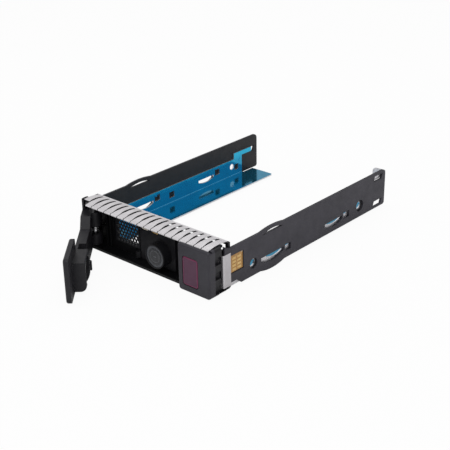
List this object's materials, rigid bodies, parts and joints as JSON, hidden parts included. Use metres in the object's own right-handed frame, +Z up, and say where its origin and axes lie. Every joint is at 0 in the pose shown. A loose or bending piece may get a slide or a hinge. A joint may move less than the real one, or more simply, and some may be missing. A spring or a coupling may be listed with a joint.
{
  "type": "hot swap drive caddy",
  "caption": "Open frame that carries a 3.5 inch disk drive into a server bay, with a swinging latch lever, a release button and sprung side rails.",
  "frame": {"origin": "underside of the bezel, middle of its width, in the plane of its front face", "axes": "+X to the right of someone facing the bezel, +Y back into the bay, +Z up"},
  "size_m": [0.1074, 0.2183, 0.029],
  "materials": {
    "black_plastic": "fine moulded grain, satin black",
    "rail_plastic": "fine moulded grain, satin black",
    "lever_plastic": "fine moulded grain, satin black",
    "latch_plastic": "smooth moulded black",
    "button_plastic": "satin maroon",
    "contact_spring": "plain stainless spring sheet",
    "bright_steel": "bright drawn steel",
    "bracket_steel": "plain stainless sheet",
    "blue_film": "glossy blue insulating film",
    "contact_flex": "amber flex with gold contact pads",
    "circuit_board": "green board",
    "light_guide": "smoky clear plastic",
    "indicator_window": "smoky window"
  },
  "bodies": {
    "chassis": {"bezel_frame": "black_plastic", "vent_grille": "black_plastic", "indicator_housing": "black_plastic", "ring_light_guide": "light_guide", "indicator_disc": "indicator_window", "led_board": "circuit_board", "flex_circuit": "contact_flex", "emi_top_spring": "contact_spring", "emi_side_spring": "contact_spring", "pivot_pin": "bright_steel", "lever_torsion_spring": "bright_steel", "left_rail": "rail_plastic", "right_rail": "rail_plastic", "left_bracket": "bracket_steel", "right_bracket": "bracket_steel", "left_film": "blue_film", "right_film": "blue_film", "left_bracket_rivets": "bright_steel", "right_bracket_rivets": "bright_steel"},
    "lever": {"release_lever": "lever_plastic", "lever_light_ring": "light_guide", "lever_centre_plug": "lever_plastic"},
    "button": {"release_button": "button_plastic", "button_spring": "bright_steel"},
    "latch": {"latch_slide": "latch_plastic", "latch_spring": "bright_steel"}
  },
  "joints": [
    {"name": "lever_hinge", "type": "hinge", "parent": "chassis", "child": "lever", "pos_m": [-0.045, 0.008, 0], "axis": [0, 0, 1], "range_deg": [0, 48], "stiffness_Nm_per_rad": 0.01},
    {"name": "button_press", "type": "slide", "parent": "chassis", "child": "button", "axis": [0, 1, 0], "range_m": [0, 0.002], "stiffness_N_per_m": 400},
    {"name": "latch_shift", "type": "slide", "parent": "chassis", "child": "latch", "axis": [-1, 0, 0], "range_m": [0, 0.002], "stiffness_N_per_m": 300}
  ],
  "couplings": [
    {"joint": "latch_shift", "follows": "button_press", "ratio": 1}
  ]
}
